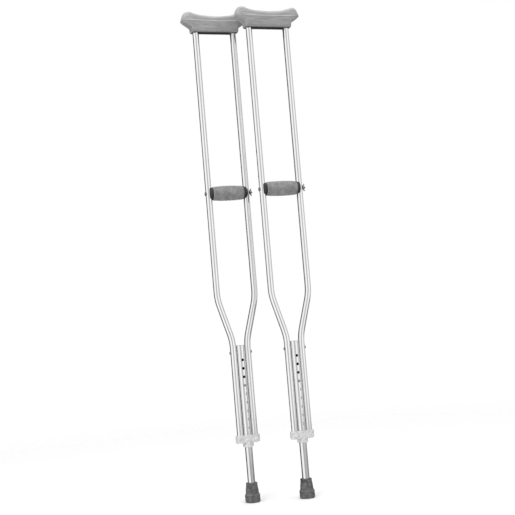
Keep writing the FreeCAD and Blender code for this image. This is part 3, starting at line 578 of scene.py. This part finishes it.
def saddleSpace(middle, foot):
    # the saddle's outline with a little air, swept from front to back: rows are the
    # two faces and their middles, columns go round the outline
    low, high = cornersOf("left_saddle")
    half, top, depth = (high[0] - low[0]) / 2, high[2] - low[2], (high[1] - low[1]) / 2
    air, sag = pad["clear"], saddle["sag"]
    narrow, skirt, nose = saddle["footHalf"] + air, saddle["skirt"] - air, saddle["noseLow"] - air
    arc = np.linspace(1, -1, 41)
    roof = np.stack([arc * (half + air), sag + air + (top - sag) * arc ** 2], 1)
    underRight = [(narrow, -saddle["below"]), (narrow, skirt), (half + air, nose)]
    under = [(-x, z) for x, z in underRight[::-1]] + underRight
    ring = np.concatenate([roof, under])
    rows = [np.stack([ring[:, 0], np.full(len(ring), y), ring[:, 1]], 1)
            for y in (-depth - air, depth + air)]
    place = np.array([middle[0], middle[1], foot])
    count = len(ring)
    points = np.concatenate(rows) + place
    around = np.arange(count)
    walls = np.stack([around, np.roll(around, -1), np.roll(around, -1) + count, around + count], 1)
    mesh = bpy.data.meshes.new("saddleSpace")
    caps = [around[::-1].tolist(), (around + count).tolist()]
    mesh.from_pydata(points.tolist(), [], walls.tolist() + caps)
    return mesh


for side in sides:
    piece = showPiece(f"{side}UnderarmPad", makePad(side), finishes["pad"], f"{side}_frame",
                      f"{side}_underarm_pad", 50)
print("underarm pads made")


# grip covers

grip = {"endOut": .0203, "endRadius": .0045, "bore": .01105, "skinFrom": .0135, "skinOver": .004,
        "swell": .00018, "swellSize": .009, "dent": .00030, "dentSize": .022, "columns": 128,
        "step": .0008, "boreStep": .004}


def makeGripCover(side):
    low, high = cornersOf(f"{side}_grip_cover")
    middle, half = (low + high) / 2, (high[0] - low[0]) / 2
    outEnd, outMiddle = grip["endOut"], (high[2] - low[2]) / 2
    # outside: a shallow barrel, its radius falling from the middle to the ends with
    # the square of the place; then round each end and back through the bore
    share = np.linspace(-1, 1, 15)
    barrel = [(half * s, outMiddle + (outEnd - outMiddle) * s * s, 0) for s in share[1:-1]]
    corners = ([(-half, grip["bore"], 0), (-half, outEnd, grip["endRadius"])] + barrel
               + [(half, outEnd, grip["endRadius"]), (half, grip["bore"], 0)])
    profile = refine(roundedProfile(corners, 8), grip["step"])
    back = refine(np.array([profile[-1], profile[0]]), grip["boreStep"])[1:-1]
    grid = turnedGrid(np.concatenate([profile, back]), (0, 0, 0), "x", grip["columns"])
    radial = grid * (0, 1, 1)
    reach = np.linalg.norm(radial, axis=-1, keepdims=True)
    skin = np.clip((reach - grip["skinFrom"]) / grip["skinOver"], 0, 1)
    uneven = (ripples(grid + middle, grip["swellSize"], 11) * grip["swell"]
              - np.clip(ripples(grid + middle, grip["dentSize"], 12) - .5, 0, 1) * grip["dent"])
    grid = grid + radial / reach * uneven[..., None] * skin
    return makeMesh(f"{side}GripCover", grid + middle, loop=True)


for side in sides:
    piece = showPiece(f"{side}GripCover", makeGripCover(side), finishes["gripFoam"], f"{side}_grip",
                      f"{side}_grip_cover", 50)
print("grip covers made")


# rubber tips

tip = {"ring": .0230, "waist": .0205, "neck": .01725, "bore": .01115, "socketFloor": .0120,
       "treadDeep": .0014, "treads": (.0055, .0095, .0135, .0175), "treadHalf": .0011,
       "treadSlope": .0003, "columns": 144, "step": .0010, "uneven": .00010, "unevenSize": .010,
       "skinFrom": .0145, "skinOver": .003}


def makeTip(side):
    low, high = cornersOf(f"{side}_leg_tip")
    middle = (low + high) / 2
    out, top = (high[0] - low[0]) / 2, high[2]
    bore, bottom = tip["bore"], tip["socketFloor"]
    # profile from the sole's middle, over the treads, up the ring and the hollow
    # waist to the lip, then down the socket to its floor
    sole, deep, slope = [], tip["treadDeep"], tip["treadSlope"]
    for tread in tip["treads"]:
        near, far = tread - tip["treadHalf"], tread + tip["treadHalf"]
        sole += [(0, near, 0), (deep, near + slope, 0), (deep, far - slope, 0), (0, far, 0)]
    ring, waist, neck = tip["ring"], tip["waist"], tip["neck"]
    outside = [(0, out - .0016, .0010), (.0022, out - .0004, .0008), (.0026, out - .0009, .0003),
               (.0032, out, .0005), (ring - .0004, out, .0009), (ring + .0006, waist + .0003, .0008),
               (ring + .006, waist - .0010, .012), (ring + .016, neck + .0016, .030),
               (top - .008, neck, .010), (top - .0034, neck, .0008),
               (top - .0028, neck + .0004, .0004), (top, neck - .0004, .0016),
               (top, bore + .0004, .0004)]
    inside = [(top - .0012, bore, .0004), (bottom, bore, 0)]
    corners = [(0, .0008, 0)] + sole + outside + inside + [(bottom, .0008, 0)]
    profile = refine(roundedProfile(corners, 5), tip["step"])
    grid = turnedGrid(profile, (0, 0, 0), "z", tip["columns"])
    radial = grid * (1, 1, 0)
    reach = np.linalg.norm(radial, axis=-1, keepdims=True)
    skin = np.clip((reach - tip["skinFrom"]) / tip["skinOver"], 0, 1) * (grid[..., 2:] > .001)
    uneven = ripples(grid + middle, tip["unevenSize"], 21)[..., None] * tip["uneven"]
    grid = grid + radial / reach * uneven * skin
    place = np.array([middle[0], middle[1], 0])
    poles = [place, place + (0, 0, bottom)]
    return makeMesh(f"{side}LegTip", grid + place, poles=poles)


for side in sides:
    showPiece(f"{side}LegTip", makeTip(side), finishes["rubber"], f"{side}_leg", f"{side}_leg_tip",
              35)
print("rubber tips made")


# grip bolts

bolt = {"headRadius": .00475, "head": .0017, "dome": .0012, "slotHalf": .00055, "slotDeep": .0008,
        "major": .003175, "root": .00262, "pitch": .00127, "threadFrom": .0680,
        "plainFrom": .020, "columns": 72, "perTurn": 12}


def makeBolt(side):
    low, high = cornersOf(f"{side}_grip_bolt")
    middle = (low + high) / 2
    start, end = low[0], high[0]
    seat = start + bolt["head"]
    threadStart = middleOf(f"{side}_centre_tube")[0] + bolt["threadFrom"]
    # head: a dome, its radius the sine of the rise to the power .8, then a straight rim
    rise = np.linspace(0, math.pi / 2, 14)[1:]
    head = start + (1 - np.cos(rise)) * bolt["dome"]
    domed = np.sin(rise) ** .8 * bolt["headRadius"]
    thread = np.arange(threadStart, end - 1e-6, bolt["pitch"] / bolt["perTurn"])
    plain = threadStart - bolt["plainFrom"]
    place = np.concatenate([head, [seat, seat, plain], thread, [end - .0003, end]])
    angle = np.linspace(0, 2 * math.pi, bolt["columns"], endpoint=False)
    across, turn = np.meshgrid(place, angle, indexing="ij")
    # thread: a triangle wave of the place less the share of a turn, in pitches
    wave = np.abs(((across - threadStart) / bolt["pitch"] - turn / (2 * math.pi)) % 1 * 2 - 1)
    fadeIn = np.clip((across - threadStart) / bolt["pitch"], 0, 1)
    screw = bolt["major"] - (bolt["major"] - bolt["root"]) * np.clip(wave * 1.25, 0, 1) * fadeIn
    screw = np.minimum(screw, bolt["root"] - .0004 + (end - across) * 1.2)
    out = np.where(across < threadStart, bolt["major"], screw)
    out[:len(head)] = domed[:, None]
    out[len(head)] = bolt["headRadius"]
    grid = np.stack([across, out * np.cos(turn), out * np.sin(turn)], -1)
    grid = grid + np.array([0, middle[1], middle[2]])
    poles = [np.array([x, middle[1], middle[2]]) for x in (start, end)]
    body = helperObject(makeMesh(f"{side}BoltForm", grid, poles=poles))
    half = np.array([bolt["slotDeep"], bolt["slotHalf"], bolt["headRadius"] * 1.2])
    slot = helperObject(boxMesh("slot", poles[0] - half, poles[0] + half))
    cut = body.modifiers.new("slot", "BOOLEAN")
    cut.operation, cut.solver, cut.object = "DIFFERENCE", "EXACT", slot
    mesh = finishedMesh(body)
    bpy.data.objects.remove(slot)
    mesh.name = f"{side}GripBolt"
    return mesh


def boxMesh(name, low, high):
    # rows are the lower and the upper end, columns the four corners
    rows = [[(high[0], high[1], z), (low[0], high[1], z), (low[0], low[1], z), (high[0], low[1], z)]
            for z in (low[2], high[2])]
    middle = (low + high) / 2
    return makeMesh(name, np.array(rows), poles=[(middle[0], middle[1], z) for z in (low[2], high[2])])


for side in sides:
    showPiece(f"{side}GripBolt", makeBolt(side), finishes["brightSteel"], f"{side}_grip",
              f"{side}_grip_bolt", 32)
print("grip bolts made")


# wing nuts

nut = {"wingRoot": .0030, "wingSpan": .0115, "rootAt": .0030, "tipAt": .0056, "rootHalf": .0024,
       "tipHalf": .0023, "rootThick": .0016, "tipThick": .0010, "closeFrom": .62, "voxel": .00030,
       "bore": .003225,
       "hub": .0060, "hubOut": .00525, "hubTaper": .0012}


def makeWing(place, way):
    # sections from the hub outwards: width and thickness run evenly from root to tip
    # and close in a half ellipse at the end
    share = np.linspace(0, 1, 40)[:-1]
    closing = ((share - nut["closeFrom"]) / (1 - nut["closeFrom"])).clip(0)
    close = np.sqrt(np.clip(1 - closing ** 2, 0, 1))
    out = nut["wingRoot"] + (nut["wingSpan"] - nut["wingRoot"]) * share
    across = nut["rootAt"] + (nut["tipAt"] - nut["rootAt"]) * share ** 1.2
    wide = (nut["rootHalf"] + (nut["tipHalf"] - nut["rootHalf"]) * share) * close
    thick = (nut["rootThick"] + (nut["tipThick"] - nut["rootThick"]) * share) * np.sqrt(close)
    angle = np.linspace(0, 2 * math.pi, 40, endpoint=False)
    c, s = np.cos(angle), np.sin(angle)
    section = np.stack([np.sign(c) * np.abs(c) ** .8, np.sign(s) * np.abs(s) ** .8], 1)
    grid = np.stack([across[:, None] + wide[:, None] * section[:, 0], thick[:, None] * section[:, 1],
                     np.repeat(way * out[:, None], 40, 1)], -1)
    ends = [place + [nut["rootAt"], 0, way * nut["wingRoot"]],
            place + [nut["tipAt"], 0, way * nut["wingSpan"]]]
    return makeMesh("wing", grid + place, poles=ends)


def makeWingNut(side):
    low, high = cornersOf(f"{side}_wing_nut")
    middle = (low + high) / 2
    place = np.array([low[0], middle[1], middle[2]])
    length, hubOut, bore = nut["hub"], nut["hubOut"], nut["bore"]
    corners = [(length / 2, bore, 0), (.0003, bore, .0002), (0, bore + .0004, .0002), (0, hubOut, .0006),
               (length, hubOut - nut["hubTaper"], .0008), (length, bore + .0004, .0002),
               (length - .0003, bore, .0002), (length / 2, bore, 0)]
    hub = refine(roundedProfile(corners, 5), .0006)[:-1]
    parts = [makeMesh("hub", turnedGrid(hub, place, "x", 64), loop=True)]
    parts += [makeWing(place, way) for way in (1, -1)]
    helpers = [helperObject(mesh) for mesh in parts]
    for other in helpers[1:]:
        join = helpers[0].modifiers.new("join", "BOOLEAN")
        join.operation, join.solver, join.object = "UNION", "EXACT", other
    soften = helpers[0].modifiers.new("cast", "REMESH")
    soften.mode, soften.voxel_size = "VOXEL", nut["voxel"]
    mesh = finishedMesh(helpers[0])
    for other in helpers[1:]:
        bpy.data.objects.remove(other)
    mesh.name = f"{side}WingNut"
    return mesh


for side in sides:
    showPiece(f"{side}WingNut", makeWingNut(side), finishes["brightSteel"], f"{side}_wing_nut",
              f"{side}_wing_nut", 60)
print("wing nuts made")


# camera, floor and lights

view = {"target": (.0791, 0, .7295), "yaw": 19.70, "pitch": 3.40, "roll": -4.83, "distance": 3.059,
        "lens": 69.9}


def makeCamera():
    yaw, pitch, roll = (math.radians(view[key]) for key in ("yaw", "pitch", "roll"))
    ahead = Vector((math.sin(yaw) * math.cos(pitch), math.cos(yaw) * math.cos(pitch), math.sin(pitch)))
    right = Vector((math.cos(yaw), -math.sin(yaw), 0))
    up = right.cross(ahead)
    rightRolled = right * math.cos(roll) + up * math.sin(roll)
    upRolled = up * math.cos(roll) - right * math.sin(roll)
    lens = bpy.data.cameras.new("camera")
    lens.lens = view["lens"]
    lens.sensor_width = 36
    camera = bpy.data.objects.new("camera", lens)
    scene.collection.objects.link(camera)
    place = Vector(view["target"]) - ahead * view["distance"]
    turn = Matrix((rightRolled, upRolled, -ahead)).transposed()
    camera.matrix_world = Matrix.Translation(place) @ turn.to_4x4()
    scene.camera = camera
    return right, -ahead


floor = {"radius": 6.0, "fadeFrom": 0.8, "fadeTo": 2.6, "tone": 0.87}


def makeFloor():
    angle = np.linspace(0, 2 * math.pi, 96, endpoint=False)
    ring = np.stack([np.cos(angle), np.sin(angle), 0 * angle], 1) * floor["radius"] - (0, 0, .0002)
    mesh = bpy.data.meshes.new("floor")
    mesh.from_pydata(ring.tolist(), [], [list(range(96))])
    material, tree, shader, where = startFinish("floorPaper", {"Roughness": 0.9, "Specular IOR Level": 0.1})
    paper = grain(tree, where, 60)
    feed(tree, shader, colour=tones(tree, paper, [(0.2, floor["tone"] - .01), (0.8, floor["tone"] + .01)]))
    # the paper fades into the white surround, and bright metal doesn't mirror it
    far = vectorWorked(tree, "LENGTH", where)
    fade = between(tree, far, 0.0, 1.0, floor["fadeFrom"], floor["fadeTo"])
    mirrored = tree.nodes.new("ShaderNodeLightPath").outputs["Is Glossy Ray"]
    clear = tree.nodes.new("ShaderNodeBsdfTransparent")
    blend = tree.nodes.new("ShaderNodeMixShader")
    tree.links.new(worked(tree, "MAXIMUM", fade, mirrored), blend.inputs[0])
    tree.links.new(shader.outputs[0], blend.inputs[1])
    tree.links.new(clear.outputs[0], blend.inputs[2])
    tree.links.new(blend.outputs[0], tree.nodes["Material Output"].inputs["Surface"])
    mesh.materials.append(material)
    plane = bpy.data.objects.new("floor", mesh)
    scene.collection.objects.link(plane)


# what bright metal mirrors, by angle to the right of the direction to the camera.
# Level and higher: two soft boxes in front, a dimmer room between them, a dark flag
# round the left and grey on the right. Lower down only the left box reaches.
surround = {
    "high": [(-180, .16), (-168, .09), (-104, .09), (-86, .5), (-66, 1.0), (-30, 1.0), (-13, .58),
             (0, .48), (22, .58), (38, 1.0), (66, 1.0), (84, .60), (120, .55), (180, .50)],
    "low": [(-180, .14), (-168, .08), (-104, .08), (-86, .5), (-66, 1.0), (-22, 1.0), (-7, .42),
            (0, .36), (30, .46), (60, .44), (90, .32), (130, .18), (180, .12)],
    "lowBelow": -.135, "highAbove": -.09, "strength": 1.12,
    "ceiling": 1.0, "ceilingFrom": .45, "ceilingTo": .85,
}


def makeSurround(right, toCamera):
    world = bpy.data.worlds.new("studio")
    world.use_nodes = True
    scene.world = world
    tree = world.node_tree
    background = tree.nodes["Background"]
    way = tree.nodes.new("ShaderNodeTexCoord").outputs["Generated"]
    parts = [vectorWorked(tree, "DOT_PRODUCT", way, Vector((axis.x, axis.y, 0)).normalized())
             for axis in (right, toCamera)]
    place = between(tree, worked(tree, "ARCTAN2", *parts), 0.0, 1.0, -math.pi, math.pi)
    high, low = (tones(tree, place, [(stop / 360 + .5, tone) for stop, tone in surround[key]])
                 for key in ("high", "low"))
    height = put(tree, "SeparateXYZ", Vector=way).outputs["Z"]
    raised = between(tree, height, 0.0, 1.0, surround["lowBelow"], surround["highAbove"])
    bands = mixed(tree, raised, low, high)
    over = between(tree, height, 0.0, 1.0, surround["ceilingFrom"], surround["ceilingTo"])
    lit = mixed(tree, over, bands, grey(surround["ceiling"]))
    path = tree.nodes.new("ShaderNodeLightPath")
    seen = mixed(tree, path.outputs["Is Camera Ray"], lit, (1, 1, 1, 1))
    tree.links.new(seen, background.inputs["Color"])
    power = put(tree, "MapRange", {"To Min": surround["strength"], "To Max": 1.0},
                Value=path.outputs["Is Camera Ray"])
    tree.links.new(power.outputs[0], background.inputs["Strength"])


lamps = {
    "overhead": {"at": (0.05, -0.3, 3.3), "aim": (0.08, 0.0, 0.6), "size": (2.6, 2.6), "power": 42},
    "keyLeft": {"at": (-2.2, -2.4, 2.0), "aim": (0.08, 0.0, 0.8), "size": (1.4, 2.0), "power": 30},
}


def makeLamps():
    for name, lamp in lamps.items():
        light = bpy.data.lights.new(name, "AREA")
        light.shape, light.energy = "RECTANGLE", lamp["power"]
        light.size, light.size_y = lamp["size"]
        thing = bpy.data.objects.new(name, light)
        thing.location = lamp["at"]
        aim = Vector(lamp["aim"]) - Vector(lamp["at"])
        thing.rotation_euler = aim.to_track_quat("-Z", "Y").to_euler()
        thing.visible_glossy = False
        scene.collection.objects.link(thing)


toRight, toCamera = makeCamera()
makeFloor()
makeSurround(toRight, toCamera)
makeLamps()
scene.view_settings.view_transform = "Standard"
scene.view_settings.look = "None"
print("camera, floor and lights made")
